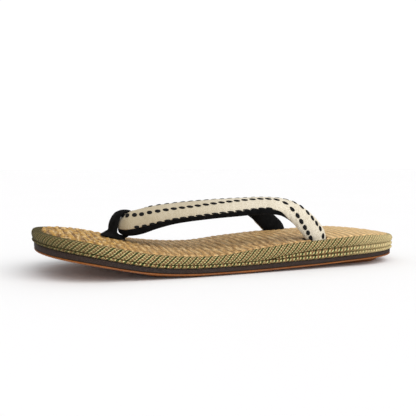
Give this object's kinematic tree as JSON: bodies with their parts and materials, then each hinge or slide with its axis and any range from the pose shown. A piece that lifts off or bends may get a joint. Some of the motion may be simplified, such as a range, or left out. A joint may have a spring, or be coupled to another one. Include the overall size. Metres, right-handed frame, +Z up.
{
  "type": "zori sandal",
  "caption": "Zori sandal with a woven straw foot bed, a stacked cloth-wrapped sole and a padded, stitched thong strap.",
  "frame": {"origin": "on the ground, under the middle of the sole", "axes": "+X towards the heel, +Y to the wearer's right, +Z up"},
  "size_m": [0.2608, 0.0992, 0.0488],
  "materials": {
    "straw": "woven rush straw, golden tan",
    "side_tape": "braided tape, olive with cream, green and red-brown strands",
    "brown_foam": "matt dark brown foam",
    "amber_rubber": "satin amber-brown rubber",
    "strap_cloth": "cream cotton with black running stitches",
    "velvet": "black velvet"
  },
  "bodies": {
    "root": {"forefoot_pad": "amber_rubber", "heel_pad": "amber_rubber", "outsole": "amber_rubber", "foam_midsole": "brown_foam", "lower_midsole": "side_tape", "heel_wedge": "side_tape", "upper_midsole": "side_tape", "top_mat": "straw", "strap_cover": "strap_cloth", "strap_lining": "velvet", "toe_thong": "velvet"}
  },
  "joints": []
}
